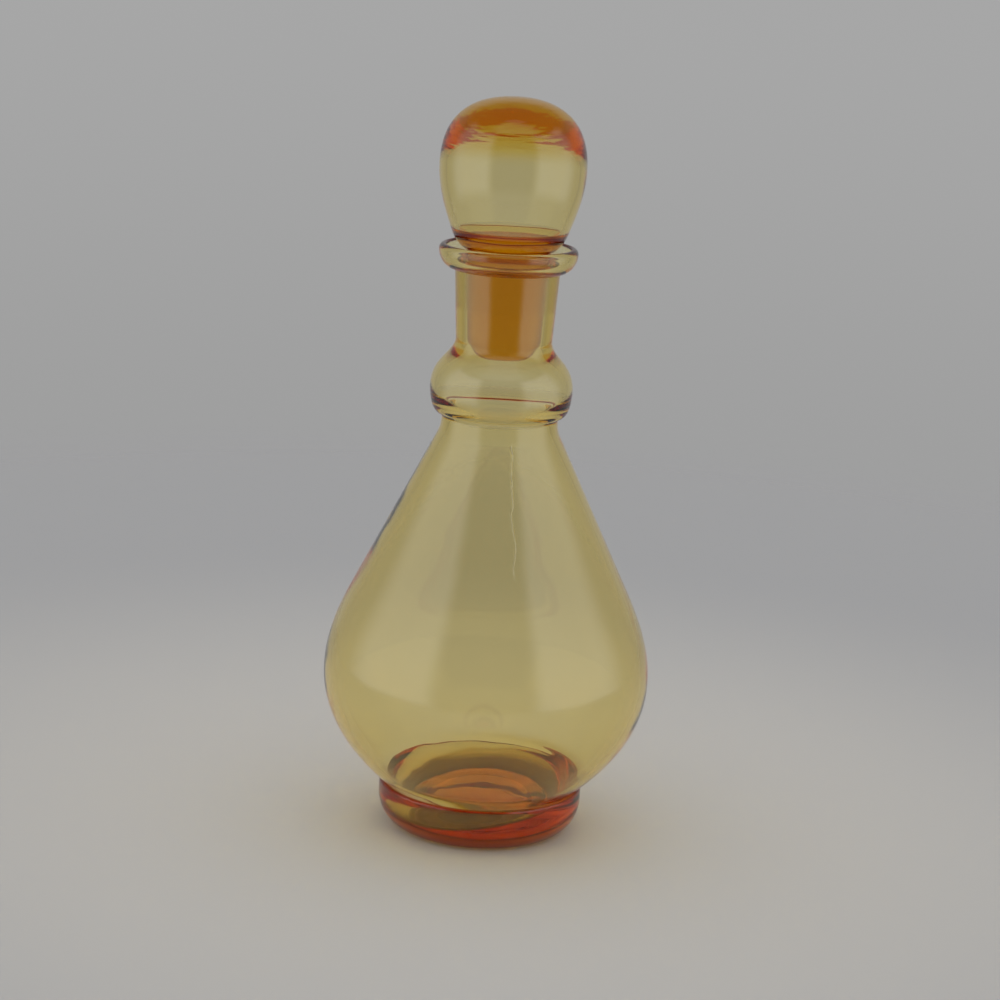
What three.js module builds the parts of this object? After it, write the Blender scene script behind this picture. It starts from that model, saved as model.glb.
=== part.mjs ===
// Genie bottle: a blown glass decanter and the hollow ball stopper that closes it.
// Millimetres, +Z up. The foot's flat ring rests on z = 0 and both pieces are turned about Z.
import * as THREE from "three";

// Foot: a thick disc with a rounded edge, standing on a flat ring round a shallow hollow
const FOOT_RADIUS = 35.7;
const FOOT_EDGE_RISE = 11.5;
const FOOT_EDGE_INSET = 9.7;
const FOOT_BAND_RISE = 3.7;
const FOOT_TOP_ROUND = 1.2;
const RING_WIDTH = 5;
const PUNT_DEPTH = 1.2;

// Belly, and the shoulder that carries it into the straight cone
const BELLY_RADIUS = 56.8;
const BELLY_RISE = 39.1;
const BELLY_START_DEGREES = 49.7;
const BELLY_LOW_SHARES = [0.337, 0.449];
const SHOULDER_RISE = 30.5;
const SHOULDER_INSET = 8.7;
const SHOULDER_SHARES = [0.35, 0.355];

// Cone, waist and the bead collar above it
const CONE_RISE = 57;
const WAIST_RADIUS = 20;
const WAIST_RISE = 5.2;
const WAIST_FILLET = 2.7;
const COLLAR_OVERHANG = 4.46;
const COLLAR_LOW_RISE = 8.8;
const COLLAR_TOP_RISE = 16.9;
const COLLAR_TOP_SHARES = [0.57, 0.34];
const FLARE_RISE = 1.2;
const FLARE_SHARES = [0.62, 0.14];

// Neck and flared lip
const NECK_TOP_RADIUS = 17.9;
const NECK_DRAW = 1.45;
const NECK_LENGTH = 23.6;
const LIP_OVERHANG = 5.75;
const LIP_RISE = 8.5;
const LIP_EDGE = 1.75;
const MOUTH_DEPTH = 4.5;
const MOUTH_PULL = 2.2;

// Thickness of the glass, and the inside floor that dips below the seam into the foot
const BELLY_WALL = 2.6;
const WAIST_WALL = 3;
const COLLAR_WALL = 2.9;
const NECK_WALL = 3.7;
const SEAM_WALL = 3.5;
const FLOOR_HEIGHT = 12.5;
const FLOOR_INSET = 9.2;
const INNER_LOW_SHARES = [0.42, 0.36];
const DIP_SHARES = [0.55, 0.45];

// Stopper: a ground plug with the neck's taper and a narrow vent, under a hollow ball
const SEAT_CLEARANCE = 0.3;
const PLUG_LENGTH = 36.9;
const PLUG_TIP_ROUND = 7.6;
const VENT_RADIUS = 3.2;
const BALL_SINK = 1.6;
const BALL_RADIUS = 24.9;
const BALL_LOW_RISE = 28.4;
const BALL_TOP_RISE = 23.2;
const BALL_TOP_SHARES = [0.608, 0.7];
const BALL_LOW_SHARES = [0.39, 0.304];
const HEEL_OVERHANG = 5.3;
const HEEL_RISE = 5.8;
const HEEL_DEGREES = 20;
const BALL_WALL = 2.5;
const CROWN_THICKNESS = 8.5;
const CAVITY_TOP_SHARES = [0.62, 0.62];
const CUP_RISE = 7.6;
const CUP_WALL = 2.6;
const CUP_SHARES = [0.39, 0.3];
const BOWL_RISE = 0.2;
const BOWL_SHARES = [0.75, 0.5];

// Facets round the axis, and the handle that bends a cubic curve into a quarter of a circle
const ROUND_STEPS = 48;
const QUARTER_SHARE = 0.5523;

const point = (radius, height) => new THREE.Vector2(radius, height);

// The direction that leans outwards from straight up by an angle
function leaning(degrees) {
  const angle = THREE.MathUtils.degToRad(degrees);
  return point(Math.sin(angle), Math.cos(angle));
}

// Half of a turned piece's section, drawn as one line from the axis back to the axis
class Outline {
  constructor(start) {
    this.points = [start];
  }

  get pen() {
    return this.points.at(-1);
  }

  line(end) {
    this.points.push(end);
    return this;
  }

  // A smooth stretch with a handle at each end
  sweep(first, second, end, steps) {
    const curve = new THREE.CubicBezierCurve(this.pen, first, second, end);
    this.points.push(...curve.getPoints(steps).slice(1));
    return this;
  }

  // A rounded corner, leaving towards the corner and arriving from it
  round(corner, end, steps) {
    const curve = new THREE.QuadraticBezierCurve(this.pen, corner, end);
    this.points.push(...curve.getPoints(steps).slice(1));
    return this;
  }

  // A quarter of an ellipse that leaves level and arrives upright
  quarterUpright(end, steps) {
    const across = (end.x - this.pen.x) * QUARTER_SHARE;
    const along = (end.y - this.pen.y) * QUARTER_SHARE;
    return this.sweep(point(this.pen.x + across, this.pen.y), point(end.x, end.y - along), end, steps);
  }

  // A quarter of an ellipse that leaves upright and arrives level
  quarterLevel(end, steps) {
    const across = (end.x - this.pen.x) * QUARTER_SHARE;
    const along = (end.y - this.pen.y) * QUARTER_SHARE;
    return this.sweep(point(this.pen.x, this.pen.y + along), point(end.x - across, end.y), end, steps);
  }

  // An S that leaves and arrives upright, with its two handles as shares of the rise
  ess(end, [firstShare, secondShare], steps) {
    const rise = end.y - this.pen.y;
    const first = point(this.pen.x, this.pen.y + rise * firstShare);
    const second = point(end.x, end.y - rise * secondShare);
    return this.sweep(first, second, end, steps);
  }
}

// Turns an outline about the Z axis
function turned(outline) {
  const geometry = new THREE.LatheGeometry(outline.points, ROUND_STEPS);
  return geometry.rotateX(Math.PI / 2);
}

// Levels of the bottle, from the table up
const bandHeight = FOOT_EDGE_RISE + FOOT_BAND_RISE;
const footHeight = bandHeight + FOOT_TOP_ROUND;
const bellyHeight = footHeight + BELLY_RISE;
const shoulderHeight = bellyHeight + SHOULDER_RISE;
const waistHeight = shoulderHeight + CONE_RISE;
const collarFloor = waistHeight + WAIST_RISE;
const collarHeight = collarFloor + COLLAR_LOW_RISE;
const neckFloor = collarHeight + COLLAR_TOP_RISE;
const neckTop = neckFloor + NECK_LENGTH;
const lipTop = neckTop + LIP_RISE;
const mouthHeight = lipTop - MOUTH_DEPTH;

// Radii that follow from their neighbours
const footRingRadius = FOOT_RADIUS - FOOT_EDGE_INSET;
const puntRadius = footRingRadius - RING_WIDTH;
const seamRadius = FOOT_RADIUS - FOOT_TOP_ROUND;
const collarRadius = WAIST_RADIUS + COLLAR_OVERHANG;
const lipRadius = NECK_TOP_RADIUS + LIP_OVERHANG;

// The neck narrows downwards, and its bore keeps the wall's thickness inside it
const neckTaper = NECK_DRAW / NECK_LENGTH;
const neckRadius = (height) => NECK_TOP_RADIUS + (height - neckTop) * neckTaper;
const boreRadius = (height) => neckRadius(height) - NECK_WALL;

// The cone's two ends, and the direction that runs up along it
const shoulder = point(BELLY_RADIUS - SHOULDER_INSET, shoulderHeight);
const waistCorner = point(WAIST_RADIUS, waistHeight);
const upCone = waistCorner.clone().sub(shoulder).normalize();
const inwards = point(-upCone.y, upCone.x);

// The outside of the bottle, from the middle of its underside up to the lip's edge
function drawOutside() {
  const outline = new Outline(point(0, PUNT_DEPTH));
  outline.round(point(puntRadius / 2, PUNT_DEPTH), point(puntRadius, 0), 4);
  outline.line(point(footRingRadius, 0));
  outline.quarterUpright(point(FOOT_RADIUS, FOOT_EDGE_RISE), 6);
  outline.line(point(FOOT_RADIUS, bandHeight));
  outline.round(point(FOOT_RADIUS, footHeight), point(seamRadius, footHeight), 3);

  const bellyStart = leaning(BELLY_START_DEGREES).multiplyScalar(BELLY_RISE * BELLY_LOW_SHARES[0]);
  const bellyHandle = point(BELLY_RADIUS, bellyHeight - BELLY_RISE * BELLY_LOW_SHARES[1]);
  outline.sweep(bellyStart.add(outline.pen), bellyHandle, point(BELLY_RADIUS, bellyHeight), 8);

  const shoulderStart = point(BELLY_RADIUS, bellyHeight + SHOULDER_RISE * SHOULDER_SHARES[0]);
  const shoulderEnd = shoulder.clone().addScaledVector(upCone, -SHOULDER_RISE * SHOULDER_SHARES[1]);
  outline.sweep(shoulderStart, shoulderEnd, shoulder, 7);

  outline.line(waistCorner.clone().addScaledVector(upCone, -WAIST_FILLET));
  outline.round(waistCorner, point(WAIST_RADIUS, waistHeight + WAIST_FILLET), 3);
  outline.line(point(WAIST_RADIUS, collarFloor));
  outline.quarterUpright(point(collarRadius, collarHeight), 6);
  outline.ess(point(neckRadius(neckFloor), neckFloor), COLLAR_TOP_SHARES, 8);
  outline.line(point(NECK_TOP_RADIUS, neckTop));
  outline.quarterUpright(point(lipRadius, lipTop - LIP_EDGE), 5);
  outline.quarterLevel(point(lipRadius - LIP_EDGE, lipTop), 4);
  return outline;
}

// The inside of the bottle, from the lip's edge down to the middle of its floor
function drawInside(outline) {
  const mouth = point(boreRadius(mouthHeight), mouthHeight);
  const lipInner = point(outline.pen.x - MOUTH_PULL, lipTop);
  outline.sweep(lipInner, point(mouth.x, mouthHeight + MOUTH_PULL), mouth, 5);
  outline.line(point(boreRadius(neckFloor), neckFloor));

  const waistBore = WAIST_RADIUS - WAIST_WALL;
  const shoulderInner = shoulder.clone().addScaledVector(inwards, BELLY_WALL);
  const innerRise = (waistBore - shoulderInner.x) * upCone.y / upCone.x;
  const innerCorner = point(waistBore, shoulderInner.y + innerRise);
  outline.ess(point(collarRadius - COLLAR_WALL, collarHeight), COLLAR_TOP_SHARES.toReversed(), 7);
  outline.ess(point(waistBore, collarFloor + FLARE_RISE), FLARE_SHARES, 6);
  outline.line(point(waistBore, innerCorner.y + WAIST_FILLET));
  outline.round(innerCorner, innerCorner.clone().addScaledVector(upCone, -WAIST_FILLET), 3);
  outline.line(shoulderInner);

  const bellyInner = point(BELLY_RADIUS - BELLY_WALL, bellyHeight);
  const shoulderPull = shoulderInner.clone().addScaledVector(upCone, -SHOULDER_RISE * SHOULDER_SHARES[1]);
  const bellyPull = point(bellyInner.x, bellyHeight + SHOULDER_RISE * SHOULDER_SHARES[0]);
  outline.sweep(shoulderPull, bellyPull, bellyInner, 7);

  const seamLean = leaning(BELLY_START_DEGREES);
  const seamInwards = point(-seamLean.y, seamLean.x).multiplyScalar(SEAM_WALL);
  const innerSeam = point(seamRadius, footHeight).add(seamInwards);
  const innerDrop = bellyHeight - innerSeam.y;
  const bellyDown = point(bellyInner.x, bellyHeight - innerDrop * INNER_LOW_SHARES[0]);
  const seamPull = innerSeam.clone().addScaledVector(seamLean, innerDrop * INNER_LOW_SHARES[1]);
  outline.sweep(bellyDown, seamPull, innerSeam, 8);

  const floorEdge = point(FOOT_RADIUS - FLOOR_INSET, FLOOR_HEIGHT);
  const dip = innerSeam.y - FLOOR_HEIGHT;
  const dipStart = innerSeam.clone().addScaledVector(seamLean, -dip * DIP_SHARES[0]);
  const dipEnd = point(floorEdge.x + (innerSeam.x - floorEdge.x) * DIP_SHARES[1], FLOOR_HEIGHT);
  outline.sweep(dipStart, dipEnd, floorEdge, 5);
  outline.line(point(0, FLOOR_HEIGHT));
  return outline;
}

// Levels of the stopper as it sits in the neck
const ballFloor = lipTop - BALL_SINK;
const ballHeight = ballFloor + BALL_LOW_RISE;
const ballTop = ballHeight + BALL_TOP_RISE;
const plugEnd = ballFloor - PLUG_LENGTH;
const plugRadius = (height) => boreRadius(height) - SEAT_CLEARANCE;
const heelRadius = plugRadius(ballFloor) + HEEL_OVERHANG;
const heelLean = leaning(HEEL_DEGREES);

// The outside of the stopper, from the vent at the plug's end up to the crown
function drawStopperOutside(outline) {
  const plugShoulder = plugEnd + PLUG_TIP_ROUND;
  outline.line(point(plugRadius(plugShoulder) - PLUG_TIP_ROUND, plugEnd));
  outline.quarterUpright(point(plugRadius(plugShoulder), plugShoulder), 5);
  outline.line(point(plugRadius(ballFloor), ballFloor));

  const heel = point(heelRadius, ballFloor + HEEL_RISE);
  const heelPull = heel.clone().addScaledVector(heelLean, -HEEL_RISE * QUARTER_SHARE);
  const heelStart = point(outline.pen.x + HEEL_OVERHANG * QUARTER_SHARE / 2, ballFloor);
  outline.sweep(heelStart, heelPull, heel, 5);

  const side = BALL_LOW_RISE - HEEL_RISE;
  const sideStart = heel.clone().addScaledVector(heelLean, side * BALL_LOW_SHARES[1]);
  const sideEnd = point(BALL_RADIUS, ballHeight - side * BALL_LOW_SHARES[0]);
  outline.sweep(sideStart, sideEnd, point(BALL_RADIUS, ballHeight), 6);

  const crownStart = point(BALL_RADIUS, ballHeight + BALL_TOP_RISE * BALL_TOP_SHARES[0]);
  outline.sweep(crownStart, point(BALL_RADIUS * BALL_TOP_SHARES[1], ballTop), point(0, ballTop), 9);
  return outline;
}

// The hollow of the stopper, from the top of the ball's cavity down through the vent
function drawStopperInside() {
  const cavityRadius = BALL_RADIUS - BALL_WALL;
  const cavityTop = ballTop - CROWN_THICKNESS;
  const cavityRise = cavityTop - ballHeight;
  const outline = new Outline(point(0, cavityTop));
  const topPull = point(cavityRadius * CAVITY_TOP_SHARES[1], cavityTop);
  const sidePull = point(cavityRadius, ballHeight + cavityRise * CAVITY_TOP_SHARES[0]);
  outline.sweep(topPull, sidePull, point(cavityRadius, ballHeight), 8);

  const cupSpread = (CUP_RISE - HEEL_RISE) * heelLean.x / heelLean.y;
  const cup = point(heelRadius + cupSpread - CUP_WALL, ballFloor + CUP_RISE);
  const side = ballHeight - cup.y;
  const sideStart = point(cavityRadius, ballHeight - side * CUP_SHARES[0]);
  outline.sweep(sideStart, cup.clone().addScaledVector(heelLean, side * CUP_SHARES[1]), cup, 6);

  const bowlFloor = ballFloor + BOWL_RISE;
  const cupDown = cup.clone().addScaledVector(heelLean, (bowlFloor - cup.y) * BOWL_SHARES[0]);
  outline.sweep(cupDown, point(cup.x * BOWL_SHARES[1], bowlFloor), point(VENT_RADIUS, bowlFloor), 7);
  outline.line(point(VENT_RADIUS, plugEnd));
  return outline;
}

const glass = {
  color: 0xc9a24a,
  roughness: 0.05,
  metalness: 0,
  transparent: true,
  opacity: 0.55,
};

// The bottle, foot to lip, as one blown piece
const bottle = new THREE.Mesh(
  turned(drawInside(drawOutside())),
  new THREE.MeshStandardMaterial(glass),
);
bottle.name = "bottle";

// The stopper, with its hollow open at the vent
const stopper = new THREE.Mesh(
  turned(drawStopperOutside(drawStopperInside())),
  new THREE.MeshStandardMaterial(glass),
);
stopper.name = "stopper";

const decanter = new THREE.Group();
decanter.add(bottle, stopper);

export default decanter;
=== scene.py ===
# %% [markdown]
# # A genie bottle in amber glass
# The bottle is one piece of blown glass, and a hollow ball stopper with a ground plug closes it.
# Both are round, so both are made as a glassblower makes them: a section turned about an axis.
# The colour lies in the glass itself, so thick glass looks deep orange and thin glass pale straw.

import bpy
import bmesh
import math
from mathutils import Matrix, Vector
from mathutils.geometry import interpolate_bezier


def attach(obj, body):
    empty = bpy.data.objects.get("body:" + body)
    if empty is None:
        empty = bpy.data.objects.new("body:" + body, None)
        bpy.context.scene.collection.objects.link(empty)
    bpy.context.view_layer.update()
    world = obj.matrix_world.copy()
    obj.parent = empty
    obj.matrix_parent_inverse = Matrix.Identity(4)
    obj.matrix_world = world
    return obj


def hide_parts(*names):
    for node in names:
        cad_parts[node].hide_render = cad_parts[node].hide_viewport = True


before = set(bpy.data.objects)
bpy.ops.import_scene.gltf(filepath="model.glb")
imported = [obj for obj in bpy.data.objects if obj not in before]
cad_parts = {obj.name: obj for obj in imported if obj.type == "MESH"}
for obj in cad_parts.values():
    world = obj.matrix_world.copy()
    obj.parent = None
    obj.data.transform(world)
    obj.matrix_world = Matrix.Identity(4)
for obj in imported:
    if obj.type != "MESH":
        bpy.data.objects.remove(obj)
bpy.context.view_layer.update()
scene = bpy.context.scene

# %% [markdown]
# ## Camera
# The photograph looks slightly down on the bottle through a long lens, so the bottle hardly narrows
# with distance. The camera is also rolled a little, so the bottle seems to lean to the right. The
# place and the angles are set as numbers, because aiming at a target would leave out the roll.

# %% Put the camera where the photographer stood
MM = 0.001
LENS, SENSOR_WIDTH = 99, 36
CAMERA_PLACE = Vector((1.65, -925, 334.45))
DEGREES_DOWN, DEGREES_ROLLED = 13.2, 3.15

camera = bpy.data.objects.new("camera", bpy.data.cameras.new("camera"))
scene.collection.objects.link(camera)
camera.data.lens = LENS
camera.data.sensor_width = SENSOR_WIDTH
pitch = Matrix.Rotation(math.radians(90 - DEGREES_DOWN), 4, "X")
roll = Matrix.Rotation(math.radians(DEGREES_ROLLED), 4, "Z")
camera.matrix_world = Matrix.Translation(CAMERA_PLACE * MM) @ pitch @ roll
scene.camera = camera
print("camera at", [round(value, 4) for value in camera.location])

# %% [markdown]
# ## Colour and nodes
# Colours are written as sRGB hex values, as a paint program shows them, and one function turns them
# into the linear numbers that a shader adds up. One more function adds a node with its settings and
# links, so that a material reads as a list of its layers. Short helpers mix values and draw soft
# edges, because nothing in this scene changes along a hard line.

# %% Helpers for colours and nodes
def linear(hex_colour):
    channels = [int(hex_colour[i:i + 2], 16) / 255 for i in (1, 3, 5)]
    return [c / 12.92 if c < 0.04045 else ((c + 0.055) / 1.055) ** 2.4 for c in channels] + [1]


def add_node(material, kind, settings=None, **links):
    """Adds a node. Settings are its options and sockets, and links join its inputs to outputs."""
    node = material.node_tree.nodes.new(kind)
    for name, value in (settings or {}).items():
        if name in node.inputs:
            node.inputs[name].default_value = value
        else:
            setattr(node, name, value)
    for name, source in links.items():
        by_number = name[1:].isdigit()
        socket = node.inputs[int(name[1:]) if by_number else name.replace("_", " ")]
        material.node_tree.links.new(source, socket)
    return node


def new_material(name):
    material = bpy.data.materials.new(name)
    material.use_nodes = True
    material.node_tree.nodes.clear()
    return material


print("pure white in linear light:", linear("#FFFFFF"))

# %% Helpers for soft edges and mixes
def soft_step(material, value, low, high, start=0, end=1):
    """Goes softly from start to end as a value goes from low to high."""
    settings = {"From Min": low, "From Max": high, "To Min": start, "To Max": end}
    settings["interpolation_type"] = "SMOOTHSTEP"
    return add_node(material, "ShaderNodeMapRange", settings, Value=value).outputs[0]


def edge(material, length, low, high):
    """The share to which a length lies past a soft edge, given in millimetres."""
    return soft_step(material, length, low * MM, high * MM)


def overlap(material, first, second):
    """The share to which a place lies in both of two areas."""
    settings = {"operation": "MULTIPLY"}
    return add_node(material, "ShaderNodeMath", settings, i0=first, i1=second).outputs[0]


def blend(material, share, first, second):
    """Mixes two values by a share."""
    node = add_node(material, "ShaderNodeMix", {"data_type": "FLOAT"})
    for name, value in (("Factor", share), ("A", first), ("B", second)):
        if isinstance(value, (int, float)):
            node.inputs[name].default_value = value
        else:
            material.node_tree.links.new(value, node.inputs[name])
    return node.outputs[0]


def flat_length(material, position):
    """The distance of a place from the upright axis."""
    flat = add_node(material, "ShaderNodeVectorMath", {"operation": "MULTIPLY"}, i0=position)
    flat.inputs[1].default_value = (1, 1, 0)
    length = add_node(material, "ShaderNodeVectorMath", {"operation": "LENGTH"}, i0=flat.outputs[0])
    return length.outputs["Value"]


print("helpers for edges and mixes ready")

# %% [markdown]
# ## Turning a section
# A glassblower turns the pipe, and heat and tools shape the glass evenly all round. Here one line
# of points is turned about the upright axis with bmesh's spin, so a few sizes say the whole form.
# The two ends of the line lie on the axis, so merging the doubles there closes both poles.

# %% Helpers that turn a section and hand it over
def spin_section(bm, points, steps, leans=()):
    """Turns a line of points about the Z axis into a skin. Leans mark how much each point tilts."""
    lean = bm.verts.layers.float.new("lean")
    vertices = [bm.verts.new(point) for point in points]
    for vertex, amount in zip(vertices, leans):
        vertex[lean] = amount
    edges = [bm.edges.new(pair) for pair in zip(vertices, vertices[1:])]
    bmesh.ops.spin(
        bm, geom=vertices + edges, cent=(0, 0, 0), axis=(0, 0, 1), dvec=(0, 0, 0),
        angle=2 * math.pi, steps=steps, use_merge=True,
    )
    bmesh.ops.remove_doubles(bm, verts=bm.verts, dist=0.001 * MM)
    bmesh.ops.recalc_face_normals(bm, faces=bm.faces)


def finished_object(name, bm, material):
    mesh = bpy.data.meshes.new(name)
    bm.to_mesh(mesh)
    bm.free()
    mesh.shade_smooth()
    mesh.materials.append(material)
    piece = bpy.data.objects.new(name, mesh)
    scene.collection.objects.link(piece)
    return piece


print("helpers ready in", scene.name)

# %% [markdown]
# ## Paper
# The bottle stands on matt grey paper that fades into an even grey background, so that no horizon
# shows from any side. A disc that turns transparent towards its rim does that without a curved
# backdrop, which would hide the bottle in a view from behind.

# %% Lay a disc of grey paper
PAPER_CENTRE, PAPER_RINGS, PAPER_STEPS = 130, (0, 300, 620), 96
FADE_FROM, FADE_TO = 360, 600
# The near and far greys are painted light, a pool of light round the bottle that dims away from it
PAINTED_LIT_PAPER, PAINTED_DIM_PAPER, NEAR_TO, FAR_FROM = "#AAA8A5", "#969697", 100, 400

# Matt paper scatters light evenly and has no gloss. Its greys are painted light: paler and a little
# warmer near the glass, darker far from it
paper = new_material("grey background paper")
paper_place = add_node(paper, "ShaderNodeTexCoord").outputs["Object"]
fade = edge(paper, flat_length(paper, paper_place), FADE_FROM, FADE_TO)
foot_place = add_node(paper, "ShaderNodeVectorMath", {"operation": "DISTANCE"}, i0=paper_place)
foot_place.inputs[1].default_value = (0, -PAPER_CENTRE * MM, 0)
away = edge(paper, foot_place.outputs["Value"], NEAR_TO, FAR_FROM)
greys = {"Color1": linear(PAINTED_LIT_PAPER), "Color2": linear(PAINTED_DIM_PAPER)}
paper_with_painted_light = add_node(paper, "ShaderNodeMixRGB", greys, Fac=away)
matt = add_node(paper, "ShaderNodeBsdfDiffuse", Color=paper_with_painted_light.outputs[0])
clear = add_node(paper, "ShaderNodeBsdfTransparent")
faded = add_node(paper, "ShaderNodeMixShader", i0=fade, i1=matt.outputs[0], i2=clear.outputs[0])
add_node(paper, "ShaderNodeOutputMaterial", Surface=faded.outputs[0])

bm = bmesh.new()
spin_section(bm, [Vector((radius * MM, 0, 0)) for radius in PAPER_RINGS], PAPER_STEPS)
floor = finished_object("paper_floor", bm, paper)
floor.location.y = PAPER_CENTRE * MM
print("paper faces:", len(floor.data.polygons))

# %% [markdown]
# ## The room
# Clear glass shows little of itself and much of the room round it. Wide soft boxes on the left and
# right make the pale veils on the glass, an overhead light shines in from the front, and the dark
# end of the room behind the camera leaves the darker band down the middle. The world draws all of
# this by direction, because lamps would show in the glass as hard bright shapes.

# %% Set the brightness of each part of the room
WALL_LEVEL, CORNER_LEVEL, TABLE_LEVEL, OVERHEAD_LEVEL = 0.37, 0.3, 0.38, 0.5
BOX_LEVEL, DARK_LEVEL, UPPER_LEVEL = 1.3, 0.05, 0.1
# Light that has come through the glass meets a softer room, as the glass's ripples blur it
BOX_THROUGH, DARK_THROUGH = 0.55, 0.2
# What lights the paper, straight and through the glass, whose glow warms the shadow
PAPER_LIGHT, GLOW_LIGHT = 1.12, 2.8

world = bpy.data.worlds.new("studio air")
world.use_nodes = True
world.node_tree.nodes.clear()
path = add_node(world, "ShaderNodeLightPath")
through = path.outputs["Is Transmission Ray"]
box_level = blend(world, through, BOX_LEVEL, BOX_THROUGH)
dark_level = blend(world, through, DARK_LEVEL, DARK_THROUGH)
upper_level = blend(world, through, UPPER_LEVEL, WALL_LEVEL)
print("room levels:", WALL_LEVEL, BOX_LEVEL, DARK_LEVEL)

# %% Put walls, boxes and the dark end in their directions
# Up is the sine of a direction's height, and forward the cosine of its turn from straight ahead.
# Each pair is where one part of the room starts to give way to the next, and where it has
CORNER_TO_WALL, SIDE_TO_BOX, BOX_TO_DARK_END = (0.7, 0.9), (0.45, 0), (-0.7, -0.88)
WALL_TO_UPPER, UPPER_TO_BOX, ROOM_TO_TABLE = (0.45, 0.7), (0.74, 0.6), (-0.3, -0.5)
OVERHEAD_UP, OVERHEAD_FORWARD = (0.66, 0.8), (-0.4, -0.8)

direction = add_node(world, "ShaderNodeTexCoord").outputs["Generated"]
up = add_node(world, "ShaderNodeSeparateXYZ", i0=direction).outputs["Z"]
forward = add_node(
    world, "ShaderNodeMath", {"operation": "DIVIDE"},
    i0=add_node(world, "ShaderNodeSeparateXYZ", i0=direction).outputs["Y"],
    i1=flat_length(world, direction),
).outputs[0]

behind = blend(world, soft_step(world, forward, *CORNER_TO_WALL), CORNER_LEVEL, WALL_LEVEL)
behind = blend(world, soft_step(world, up, *WALL_TO_UPPER), behind, upper_level)
beside = blend(world, soft_step(world, up, *UPPER_TO_BOX), upper_level, box_level)
walls = blend(world, soft_step(world, forward, *SIDE_TO_BOX), behind, beside)
walls = blend(world, soft_step(world, forward, *BOX_TO_DARK_END), walls, dark_level)
above = soft_step(world, up, *OVERHEAD_UP)
overhead = overlap(world, above, soft_step(world, forward, *OVERHEAD_FORWARD))
room = blend(world, overhead, walls, OVERHEAD_LEVEL)
room = blend(world, soft_step(world, up, *ROOM_TO_TABLE), room, TABLE_LEVEL)
print("directions drawn:", len(world.node_tree.nodes), "nodes")

# %% Show the camera an even backdrop and finish the world
# The backdrop is a little darker low down, as the paper's far end is
LOW_TO_HIGH, LOW_LEVEL, HIGH_LEVEL = (-0.23, -0.04), 0.345, 0.385

backdrop = soft_step(world, up, *LOW_TO_HIGH, LOW_LEVEL, HIGH_LEVEL)
seen = blend(world, path.outputs["Is Camera Ray"], room, backdrop)
onto_paper = add_node(
    world, "ShaderNodeMath", {"operation": "MINIMUM"}, i0=path.outputs["Diffuse Depth"],
)
onto_paper.inputs[1].default_value = 1
paper_light = blend(world, through, PAPER_LIGHT, GLOW_LIGHT)
brightness = blend(world, onto_paper.outputs[0], seen, paper_light)
white = {"Color": linear("#FFFFFF")}
background = add_node(world, "ShaderNodeBackground", white, Strength=brightness)
add_node(world, "ShaderNodeOutputWorld", Surface=background.outputs[0])
world.cycles.sampling_method = "NONE"
scene.world = world
scene.view_settings.view_transform = "Standard"
# Light turns many times inside a thick foot before it comes out, and a low limit leaves it black
BOUNCES = 24
scene.cycles.max_bounces = scene.cycles.transmission_bounces = scene.cycles.glossy_bounces = BOUNCES
print("world nodes:", len(world.node_tree.nodes))

# %% [markdown]
# ## Amber glass
# Soda-lime glass with iron and sulphur in it. It takes blue out of the light quickly, green slowly
# and red hardly at all. So the colour is set in the volume, where thickness deepens it by itself,
# and the surface stays clear. Fire polish leaves it smooth with slow ripples, the plug and its seat
# are ground together with emery, and each piece has its maker's own marks.

# %% Write the recipe of the amber glass
AMBER = "#FCE900"
AMBER_PER_METRE = 178
GLASS_IOR = 1.52
GROUND_ROUGHNESS = 0.2
# A painted shade that darkens the glass low in the foot, and the heights between which it ends
PAINTED_FOOT_SHADE, FOOT_SHADE_FROM, FOOT_SHADE_TO = "#74604A", 3, 8
# Fire polish leaves slow ripples about 14 mm apart, with their height in millimetres
RIPPLES_PER_METRE, RIPPLE_HEIGHT = 70, 0.6
# Emery grit leaves pits about a tenth of a millimetre wide, drawn here at 0.4 mm so that they show
PITS_PER_METRE, PIT_DEPTH = 2500, 0.05
# Wiping marks and dust, about 6 mm apart, keep the clear glass from being perfectly sharp
MARKS_PER_METRE, MARKS_FROM, MARKS_TO = 160, 0.45, 0.75
WIPED_ROUGHNESS, DUSTY_ROUGHNESS = 0.01, 0.06
print("glass colours per metre:", [round(AMBER_PER_METRE * (1 - c), 1) for c in linear(AMBER)[:3]])


# %% Mark where the joint is ground
# The frosting ends within these distances at its bottom, at its top and at its two radii
BOTTOM_FADE, TOP_FADE, SIDE_FADE = 1, 0.5, 0.2


def ground_share(glass, position, heights, radii):
    """The share to which a place lies on the ground joint, between two heights and two radii."""
    height = add_node(glass, "ShaderNodeSeparateXYZ", i0=position).outputs["Z"]
    radius = flat_length(glass, position)
    above = edge(glass, height, heights[0] - BOTTOM_FADE, heights[0] + BOTTOM_FADE)
    below = edge(glass, height, heights[1] + TOP_FADE, heights[1] - TOP_FADE)
    outside = edge(glass, radius, radii[0] - SIDE_FADE, radii[0])
    inside = edge(glass, radius, radii[1] + SIDE_FADE, radii[1])
    return overlap(glass, overlap(glass, above, below), overlap(glass, outside, inside))


print("ground faces at roughness", GROUND_ROUGHNESS)


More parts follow.
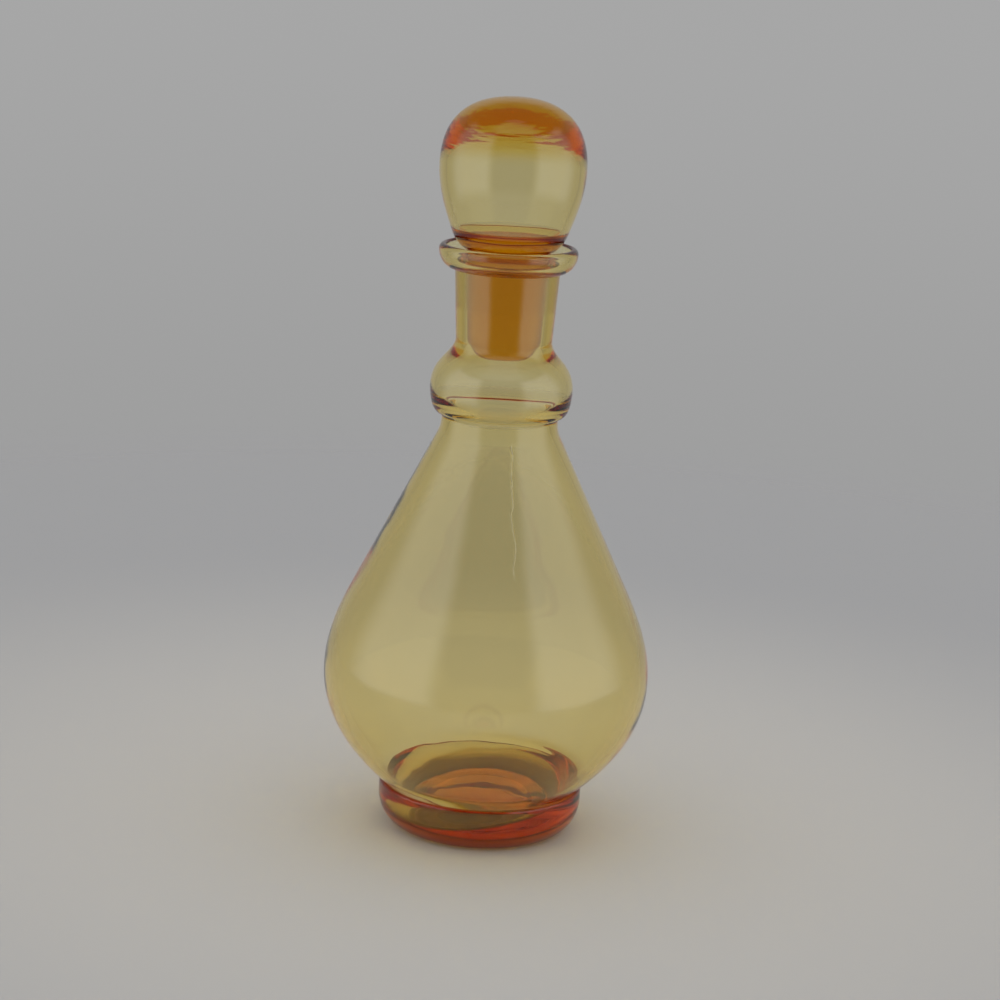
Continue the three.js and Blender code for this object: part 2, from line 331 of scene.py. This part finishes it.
# %% Make a glass with a ground joint and its maker's marks
def amber_glass(name, ground_heights, ground_radii, marks):
    """Clear amber glass, frosted where its ground joint lies between two heights and two radii."""
    glass = new_material(name)
    position = add_node(glass, "ShaderNodeTexCoord").outputs["Object"]
    height = add_node(glass, "ShaderNodeSeparateXYZ", i0=position).outputs["Z"]
    ground = ground_share(glass, position, ground_heights, ground_radii)

    ripple_look = {"Scale": RIPPLES_PER_METRE, "Detail": 1, "Roughness": 0.4}
    ripple = add_node(glass, "ShaderNodeTexNoise", ripple_look, Vector=position)
    ripple_size = {"Strength": 0.25, "Distance": RIPPLE_HEIGHT * MM}
    bump = add_node(glass, "ShaderNodeBump", ripple_size, Height=ripple.outputs[0])
    grit_look = {"Scale": PITS_PER_METRE, "Detail": 2}
    grit = add_node(glass, "ShaderNodeTexNoise", grit_look, Vector=position)
    bump = add_node(
        glass, "ShaderNodeBump", {"Strength": 0.5, "Distance": PIT_DEPTH * MM},
        Height=overlap(glass, grit.outputs[0], ground), Normal=bump.outputs[0],
    )
    bump = marks(glass, position, bump)

    haze_look = {"Scale": MARKS_PER_METRE, "Detail": 4, "Roughness": 0.6}
    haze = add_node(glass, "ShaderNodeTexNoise", haze_look, Vector=position)
    dust = (MARKS_FROM, MARKS_TO, WIPED_ROUGHNESS, DUSTY_ROUGHNESS)
    smear = soft_step(glass, haze.outputs[0], *dust)
    roughness = blend(glass, ground, smear, GROUND_ROUGHNESS)
    # Painted shade: below these heights the glass is tinted darker, fading out higher up the foot
    shade_tints = {"Color1": linear(PAINTED_FOOT_SHADE), "Color2": linear("#FFFFFF")}
    out_of_shade = edge(glass, height, FOOT_SHADE_FROM, FOOT_SHADE_TO)
    painted_shade_tint = add_node(glass, "ShaderNodeMixRGB", shade_tints, Fac=out_of_shade)

    surface = add_node(
        glass, "ShaderNodeBsdfPrincipled", {"Transmission Weight": 1, "IOR": GLASS_IOR},
        Roughness=roughness, Normal=bump.outputs[0], Base_Color=painted_shade_tint.outputs[0],
    )
    body = add_node(glass, "ShaderNodeVolumeAbsorption", {"Density": AMBER_PER_METRE})
    body.inputs["Color"].default_value = linear(AMBER)
    add_node(
        glass, "ShaderNodeOutputMaterial", Surface=surface.outputs[0], Volume=body.outputs[0],
    )
    return glass


print("glass recipe ready, clear faces at roughness", WIPED_ROUGHNESS, "to", DUSTY_ROUGHNESS)

# %% [markdown]
# ### Maker's marks
# A fine thread of harder glass runs down the front of the cone. It was in the gather and was drawn
# out as the cone was, so it wanders. Low folds lie round the crown of the ball, where its glass was
# closed and pressed flat. Both are bumps in the surface, as they are far thinner than the wall.

# %% Draw the thread
# Heights and places in millimetres: it runs a little to the right on its way down
THREAD_TOP, THREAD_END, THREAD_TOP_X, THREAD_END_X = 140, 92, 4.2, 8.4
THREAD_HALF_WIDTH, THREAD_CREST, THREAD_HEIGHT = 0.5, 0.05, 0.15
THREAD_SWAY, SWAYS_PER_METRE = 0.7, 70
# A noise seldom leaves the values between these
NOISE_LOW, NOISE_HIGH = 0.3, 0.7
THREAD_FADES_BELOW, THREAD_FADES_ABOVE, THREAD_FRONT = (98, 104), (143, 138), (-5, -9)


def drawn_thread(glass, position, bump):
    """A fine thread of harder glass that was drawn out in waves down the front of the cone."""
    place = add_node(glass, "ShaderNodeSeparateXYZ", i0=position)
    height = place.outputs["Z"]
    wander_look = {"noise_dimensions": "1D", "Scale": SWAYS_PER_METRE, "Detail": 2}
    wander = add_node(glass, "ShaderNodeTexNoise", wander_look, W=height)
    run = {"From Min": THREAD_END * MM, "From Max": THREAD_TOP * MM}
    run.update({"To Min": THREAD_END_X * MM, "To Max": THREAD_TOP_X * MM})
    middle = add_node(glass, "ShaderNodeMapRange", run, Value=height)
    sway = {"From Min": NOISE_LOW, "From Max": NOISE_HIGH}
    sway.update({"To Min": -THREAD_SWAY * MM, "To Max": THREAD_SWAY * MM})
    wave = add_node(glass, "ShaderNodeMapRange", sway, Value=wander.outputs[0])
    line = add_node(
        glass, "ShaderNodeMath", {"operation": "ADD"}, i0=middle.outputs[0], i1=wave.outputs[0],
    )
    off = add_node(
        glass, "ShaderNodeMath", {"operation": "SUBTRACT"},
        i0=place.outputs["X"], i1=line.outputs[0],
    )
    gap = add_node(glass, "ShaderNodeMath", {"operation": "ABSOLUTE"}, i0=off.outputs[0])
    ridge = edge(glass, gap.outputs[0], THREAD_HALF_WIDTH, THREAD_CREST)
    ridge = overlap(glass, ridge, edge(glass, place.outputs["Y"], *THREAD_FRONT))
    ridge = overlap(glass, ridge, edge(glass, height, *THREAD_FADES_BELOW))
    ridge = overlap(glass, ridge, edge(glass, height, *THREAD_FADES_ABOVE))
    size = {"Strength": 1, "Distance": THREAD_HEIGHT * MM}
    return add_node(glass, "ShaderNodeBump", size, Height=ridge, Normal=bump.outputs[0])


print("thread from", THREAD_FADES_ABOVE[0], "down to", THREAD_FADES_BELOW[0])

# %% Draw the folds and make both glasses
# The folds lie flat: about 22 mm long and 2 mm high. Heights, radii and depth are in millimetres
FOLDS_PER_METRE, FOLD_DEPTH, CROWN_HEIGHTS = (45, 45, 420), 0.5, (238, 245)
BOTTLE_SEAT_HEIGHTS, BOTTLE_SEAT_RADII = (184, 202.5), (11, 14.6)
PLUG_SEAT_HEIGHTS, PLUG_SEAT_RADII = (170, 203), (11, 14.4)


def folded_crown(glass, position, bump):
    """Low folds round the crown, where the ball was closed and the hot glass was pressed flat."""
    height = add_node(glass, "ShaderNodeSeparateXYZ", i0=position).outputs["Z"]
    stretched = add_node(glass, "ShaderNodeVectorMath", {"operation": "MULTIPLY"}, i0=position)
    stretched.inputs[1].default_value = FOLDS_PER_METRE
    fold_look = {"Scale": 1, "Detail": 2, "Roughness": 0.5}
    folds = add_node(glass, "ShaderNodeTexNoise", fold_look, Vector=stretched.outputs[0])
    folds = overlap(glass, folds.outputs[0], edge(glass, height, *CROWN_HEIGHTS))
    size = {"Strength": 0.6, "Distance": FOLD_DEPTH * MM}
    return add_node(glass, "ShaderNodeBump", size, Height=folds, Normal=bump.outputs[0])


bottle_glass = amber_glass(
    "blown amber glass", BOTTLE_SEAT_HEIGHTS, BOTTLE_SEAT_RADII, drawn_thread,
)
stopper_glass = amber_glass(
    "blown amber glass with ground plug", PLUG_SEAT_HEIGHTS, PLUG_SEAT_RADII, folded_crown,
)
print("glasses:", bottle_glass.name, "and", stopper_glass.name)

# %% [markdown]
# ## The section
# A turner's drawing is half a section: straight runs, arcs and easy curves between a few sizes. A
# pen draws the same here in millimetres, and each curve is a Bezier curve, so its ends leave and
# arrive in the directions that the form needs. A share says how much of a rise an end keeps to its
# direction, so a larger one makes a fuller curve. Plain lists of points would say none of that.

# %% A pen for sections
QUARTER_SHARE = 0.5523


def point(radius, height):
    return Vector((radius, 0, height))


def leaning(degrees):
    return point(math.sin(math.radians(degrees)), math.cos(math.radians(degrees)))


class Outline:
    """Half a section, drawn from its first point by straight runs and curves."""

    def __init__(self, start):
        self.points = [start]

    @property
    def pen(self):
        return self.points[-1]

    def line(self, end):
        self.points.append(end)

    def sweep(self, first, second, end, steps=20):
        """Curves towards first, then in from second to the end."""
        self.points += interpolate_bezier(self.pen, first, second, end, steps + 1)[1:]

    def round(self, corner, end, steps=10):
        """Rounds off a corner."""
        first = self.pen.lerp(corner, 2 / 3)
        second = end.lerp(corner, 2 / 3)
        self.sweep(first, second, end, steps)

    def quarter_upright(self, end, steps=16):
        """A quarter of an ellipse that starts level and ends upright."""
        across = (end.x - self.pen.x) * QUARTER_SHARE
        along = (end.z - self.pen.z) * QUARTER_SHARE
        first = point(self.pen.x + across, self.pen.z)
        self.sweep(first, point(end.x, end.z - along), end, steps)

    def quarter_level(self, end, steps=12):
        """A quarter of an ellipse that starts upright and ends level."""
        across = (end.x - self.pen.x) * QUARTER_SHARE
        along = (end.z - self.pen.z) * QUARTER_SHARE
        first = point(self.pen.x, self.pen.z + along)
        self.sweep(first, point(end.x - across, end.z), end, steps)

    def ess(self, end, first_share, second_share, steps=20):
        """An S from upright to upright, with the shares of the rise that each end keeps to."""
        rise = end.z - self.pen.z
        first = point(self.pen.x, self.pen.z + rise * first_share)
        self.sweep(first, point(end.x, end.z - rise * second_share), end, steps)


print("a quarter circle's handle share:", QUARTER_SHARE)

# %% [markdown]
# ## The bottle
# From the table up: a thick foot on a flat ring, a round belly, a straight cone, a narrow waist, a
# bead collar, a short neck and a flared lip. It is one piece of glass, so it is one closed skin:
# the outside from the foot's hollow to the lip, and the inside back down at the glass's thickness.
# The inside's edges show as lines through the glass, so each wall has its own thickness.

# %% Sizes of the bottle in millimetres
FOOT_RADIUS, FOOT_EDGE_RISE, FOOT_EDGE_INSET = 35.7, 11.5, 9.7
FOOT_BAND_RISE, FOOT_TOP_ROUND = 3.7, 1.2
RING_WIDTH, PUNT_DEPTH = 5, 1.2
BELLY_RADIUS, BELLY_RISE, BELLY_START_DEGREES = 56.8, 39.1, 49.7
SHOULDER_RISE, SHOULDER_INSET, CONE_RISE = 30.5, 8.7, 57
WAIST_RADIUS, WAIST_RISE, WAIST_FILLET = 20, 5.2, 2.7
COLLAR_OVERHANG, COLLAR_LOW_RISE, COLLAR_TOP_RISE, CREASE = 4.46, 8.8, 16.9, 1.4
NECK_TOP_RADIUS, NECK_DRAW, NECK_LENGTH, NECK_FLARE = 17.9, 1.45, 23.6, 1.5
LIP_OVERHANG, LIP_RISE, LIP_EDGE, LIP_EDGE_PULL = 5.75, 8.5, 1.75, 0.6
BELLY_WALL, WAIST_WALL, COLLAR_WALL, NECK_WALL, LIP_WALL = 2.6, 3.0, 2.2, 3.7, 2.6
DISH_FLOOR, MOUTH_ROUND = 200.2, 1.6
SEAM_WALL, FLOOR_RADIUS, FLOOR_HEIGHT = 2.6, 28.5, 12.2
FLOOR_LEAN_RIGHT, FLOOR_LEAN_BACK, LEAN_TOP = 0.14, 0.13, 22.5
# Shares of the shoulder's rise, and of the neck's, that each end of a curve keeps to
SHOULDER_LOW, SHOULDER_HIGH, COLLAR_SHARE, NECK_SHARE = 0.35, 0.355, 0.57, 0.34

band_height = FOOT_EDGE_RISE + FOOT_BAND_RISE
foot_height = band_height + FOOT_TOP_ROUND
belly_height = foot_height + BELLY_RISE
shoulder_height = belly_height + SHOULDER_RISE
waist_height = shoulder_height + CONE_RISE
collar_floor = waist_height + WAIST_RISE
collar_height = collar_floor + COLLAR_LOW_RISE
neck_floor = collar_height + COLLAR_TOP_RISE
neck_top = neck_floor + NECK_LENGTH
lip_top = neck_top + LIP_RISE
mouth_height = DISH_FLOOR - MOUTH_ROUND


def bore_radius(height):
    return NECK_TOP_RADIUS + (height - neck_top) * NECK_DRAW / NECK_LENGTH - NECK_WALL


print("lip top:", lip_top, "bore at the mouth:", round(bore_radius(mouth_height), 2))

# %% Draw the outside, from the hollow under the foot to the lip
seam_radius = FOOT_RADIUS - FOOT_TOP_ROUND
ring_radius = FOOT_RADIUS - FOOT_EDGE_INSET
hollow_radius = ring_radius - RING_WIDTH
collar_radius = WAIST_RADIUS + COLLAR_OVERHANG
lip_radius = NECK_TOP_RADIUS + LIP_OVERHANG
shoulder = point(BELLY_RADIUS - SHOULDER_INSET, shoulder_height)
waist_corner = point(WAIST_RADIUS, waist_height)
up_cone = (waist_corner - shoulder).normalized()
inwards = point(-up_cone.z, up_cone.x)
belly_lean = leaning(BELLY_START_DEGREES)

outline = Outline(point(0, PUNT_DEPTH))
outline.round(point(hollow_radius / 2, PUNT_DEPTH), point(hollow_radius, 0), steps=14)
outline.line(point(ring_radius, 0))
outline.quarter_upright(point(FOOT_RADIUS, FOOT_EDGE_RISE), steps=22)
outline.line(point(FOOT_RADIUS, band_height))
outline.round(point(FOOT_RADIUS, foot_height), point(seam_radius, foot_height), steps=8)
belly_start = outline.pen + belly_lean * BELLY_RISE * 0.337
belly_pull = point(BELLY_RADIUS, belly_height - BELLY_RISE * 0.449)
outline.sweep(belly_start, belly_pull, point(BELLY_RADIUS, belly_height), steps=34)
belly_rise = point(BELLY_RADIUS, belly_height + SHOULDER_RISE * SHOULDER_LOW)
outline.sweep(belly_rise, shoulder - up_cone * SHOULDER_RISE * SHOULDER_HIGH, shoulder, steps=26)
outline.line(waist_corner - up_cone * WAIST_FILLET)
outline.round(waist_corner, point(WAIST_RADIUS, waist_height + WAIST_FILLET), steps=8)
outline.line(point(WAIST_RADIUS, collar_floor - CREASE))
crease_end = point(WAIST_RADIUS + CREASE, collar_floor)
outline.round(point(WAIST_RADIUS, collar_floor), crease_end, steps=6)
outline.quarter_upright(point(collar_radius, collar_height), steps=20)
neck_foot = point(bore_radius(neck_floor) + NECK_WALL, neck_floor)
outline.ess(neck_foot, COLLAR_SHARE, NECK_SHARE, steps=26)
outline.line(point(NECK_TOP_RADIUS, neck_top))
outline.quarter_upright(point(lip_radius, lip_top - LIP_EDGE), steps=16)
outline.quarter_level(point(lip_radius - LIP_EDGE, lip_top), steps=10)
print("outside:", len(outline.points), "points")

# %% Draw the inside down to the waist
lip_inner = point(lip_radius - LIP_WALL, lip_top - LIP_EDGE)
first_pull = point(outline.pen.x - LIP_EDGE_PULL, lip_top)
outline.sweep(first_pull, point(lip_inner.x, lip_top - LIP_EDGE_PULL), lip_inner, steps=10)
outline.quarter_level(point(NECK_TOP_RADIUS, DISH_FLOOR), steps=16)
mouth_radius = bore_radius(mouth_height)
outline.round(point(mouth_radius, DISH_FLOOR), point(mouth_radius, mouth_height), steps=8)
outline.line(point(bore_radius(neck_floor), neck_floor - NECK_FLARE))
waist_bore = WAIST_RADIUS - WAIST_WALL
shoulder_inner = shoulder + inwards * BELLY_WALL
cone_share = (waist_bore - shoulder_inner.x) / up_cone.x
inner_corner = point(waist_bore, shoulder_inner.z + cone_share * up_cone.z)
collar_inner = point(collar_radius - COLLAR_WALL, collar_height)
outline.ess(collar_inner, NECK_SHARE, COLLAR_SHARE, steps=24)
outline.ess(point(waist_bore, inner_corner.z + WAIST_FILLET), 0.5, 0.3, steps=24)
outline.round(inner_corner, inner_corner - up_cone * WAIST_FILLET, steps=8)
print("down to the waist:", len(outline.points), "points")

# %% Draw the belly's inside and the well in the foot
outline.line(shoulder_inner)
belly_inner = point(BELLY_RADIUS - BELLY_WALL, belly_height)
shoulder_pull = shoulder_inner - up_cone * SHOULDER_RISE * SHOULDER_HIGH
inner_rise = point(belly_inner.x, belly_height + SHOULDER_RISE * SHOULDER_LOW)
outline.sweep(shoulder_pull, inner_rise, belly_inner, steps=26)
well_from = len(outline.points)
into_glass = point(-belly_lean.z, belly_lean.x)
inner_seam = point(seam_radius, foot_height) + into_glass * SEAM_WALL
drop = belly_height - inner_seam.z
belly_pull = point(belly_inner.x, belly_height - drop * 0.42)
outline.sweep(belly_pull, inner_seam + belly_lean * drop * 0.36, inner_seam, steps=34)
dip = inner_seam.z - FLOOR_HEIGHT
floor_edge = point(FLOOR_RADIUS, FLOOR_HEIGHT)
floor_pull = floor_edge.lerp(point(inner_seam.x, FLOOR_HEIGHT), 0.45)
outline.sweep(inner_seam - belly_lean * dip * 0.55, floor_pull, floor_edge, steps=14)
outline.line(point(0, FLOOR_HEIGHT))
print("whole section:", len(outline.points), "points")

# %% [markdown]
# ### The leaning floor
# The glass in the foot was cut and pressed by hand, so the floor inside leans a little. From the
# side that shows as a slanting edge between amber and dark red in the foot. The turned section is
# level all round, so each point carries a share of the lean, and the floor is tilted after turning.

# %% Turn the section and lean the floor
ROUND_STEPS = 192
SHARP_DEGREES = 28


def lean_share(index):
    """How far a point follows the floor's lean: not at all outside, wholly on the floor."""
    share = (LEAN_TOP - outline.points[index].z) / (LEAN_TOP - FLOOR_HEIGHT)
    share = min(1, max(0, share)) if index >= well_from else 0
    return share * share * (3 - 2 * share)


bm = bmesh.new()
leans = [lean_share(index) for index in range(len(outline.points))]
spin_section(bm, [p * MM for p in outline.points], ROUND_STEPS, leans)
lean = bm.verts.layers.float["lean"]
for vertex in bm.verts:
    tilt = FLOOR_LEAN_RIGHT * vertex.co.x + FLOOR_LEAN_BACK * vertex.co.y
    vertex.co.z += vertex[lean] * tilt
bottle = finished_object("blown_bottle", bm, bottle_glass)
bottle.data.set_sharp_from_angle(angle=math.radians(SHARP_DEGREES))
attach(bottle, "bottle")
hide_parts("bottle")
print("bottle:", len(outline.points), "points,", len(bottle.data.polygons), "faces")

# %% [markdown]
# ## The stopper
# A bubble was blown in a gather of glass, so the ball is hollow with a thick crown, and its solid
# heel was drawn out into a plug. The plug is ground to the neck's taper, so it takes its radius
# from the bore, less a hair's breadth all round. The bubble is a closed skin of its own, turned
# inside out, because the glass lies round it and not in it.

# %% Sizes of the stopper in millimetres
SEAT_CLEARANCE, PLUG_LENGTH, PLUG_TIP_ROUND = 0.3, 36.9, 7.6
BALL_SINK, BALL_RADIUS, BALL_LOW_RISE, BALL_TOP_RISE = 1.6, 24.9, 28.4, 23.2
HEEL_OVERHANG, HEEL_RISE, HEEL_DEGREES = 5.3, 5.8, 20
BALL_WALL, CROWN_THICKNESS, CUP_RISE, CUP_WALL, BUBBLE_RISE = 2.5, 8.5, 7.6, 2.6, 5.1
CUP_PULL, BUBBLE_FLOOR_PULL = 1.5, 12

ball_floor = lip_top - BALL_SINK
ball_height = ball_floor + BALL_LOW_RISE
ball_top = ball_height + BALL_TOP_RISE
plug_end = ball_floor - PLUG_LENGTH


def plug_radius(height):
    return bore_radius(height) - SEAT_CLEARANCE


heel_radius = plug_radius(ball_floor) + HEEL_OVERHANG
heel_lean = leaning(HEEL_DEGREES)
print("ball top:", round(ball_top, 2), "plug end:", round(plug_end, 2))

# %% Draw the bubble
cavity_top = ball_top - CROWN_THICKNESS
cavity_side = point(BALL_RADIUS - BALL_WALL, ball_height)
dome_pull = point(cavity_side.x, ball_height + (cavity_top - ball_height) * 0.62)
bubble = Outline(point(0, cavity_top))
bubble.sweep(point(cavity_side.x * 0.62, cavity_top), dome_pull, cavity_side, steps=26)
cup_out = (CUP_RISE - HEEL_RISE) * heel_lean.x / heel_lean.z
cup = point(heel_radius + cup_out - CUP_WALL, ball_floor + CUP_RISE)
side = ball_height - cup.z
side_pull = point(cavity_side.x, ball_height - side * 0.39)
bubble.sweep(side_pull, cup + heel_lean * side * 0.3, cup, steps=26)
bubble_floor = point(0, ball_floor + BUBBLE_RISE)
floor_pull = bubble_floor + point(BUBBLE_FLOOR_PULL, 0)
bubble.sweep(cup - heel_lean * CUP_PULL, floor_pull, bubble_floor, steps=18)
print("bubble:", len(bubble.points), "points")

# %% Draw the outside of the plug and the ball
outline = Outline(point(0, plug_end))
tip_height = plug_end + PLUG_TIP_ROUND
tip_radius = plug_radius(tip_height)
outline.line(point(tip_radius - PLUG_TIP_ROUND, plug_end))
outline.quarter_upright(point(tip_radius, tip_height), steps=18)
outline.line(point(plug_radius(ball_floor), ball_floor))
heel = point(heel_radius, ball_floor + HEEL_RISE)
heel_start = point(outline.pen.x + HEEL_OVERHANG * QUARTER_SHARE / 2, ball_floor)
outline.sweep(heel_start, heel - heel_lean * HEEL_RISE * QUARTER_SHARE, heel, steps=14)
side = BALL_LOW_RISE - HEEL_RISE
side_pull = point(BALL_RADIUS, ball_height - side * 0.39)
outline.sweep(heel + heel_lean * side * 0.304, side_pull, point(BALL_RADIUS, ball_height), steps=24)
top_pull = point(BALL_RADIUS, ball_height + BALL_TOP_RISE * 0.608)
outline.sweep(top_pull, point(BALL_RADIUS * 0.7, ball_top), point(0, ball_top), steps=34)
print("outside:", len(outline.points), "points")

# %% Turn both skins and join them
bm = bmesh.new()
spin_section(bm, [p * MM for p in outline.points], ROUND_STEPS)
hollow = bmesh.new()
spin_section(hollow, [p * MM for p in bubble.points], ROUND_STEPS)
bmesh.ops.reverse_faces(hollow, faces=hollow.faces)
hollow_mesh = bpy.data.meshes.new("bubble")
hollow.to_mesh(hollow_mesh)
hollow.free()
bm.from_mesh(hollow_mesh)
bpy.data.meshes.remove(hollow_mesh)
stopper = finished_object("ball_stopper", bm, stopper_glass)
stopper.data.set_sharp_from_angle(angle=math.radians(SHARP_DEGREES))
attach(stopper, "stopper")
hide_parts("stopper")
print("stopper:", len(outline.points), "points,", len(stopper.data.polygons), "faces")
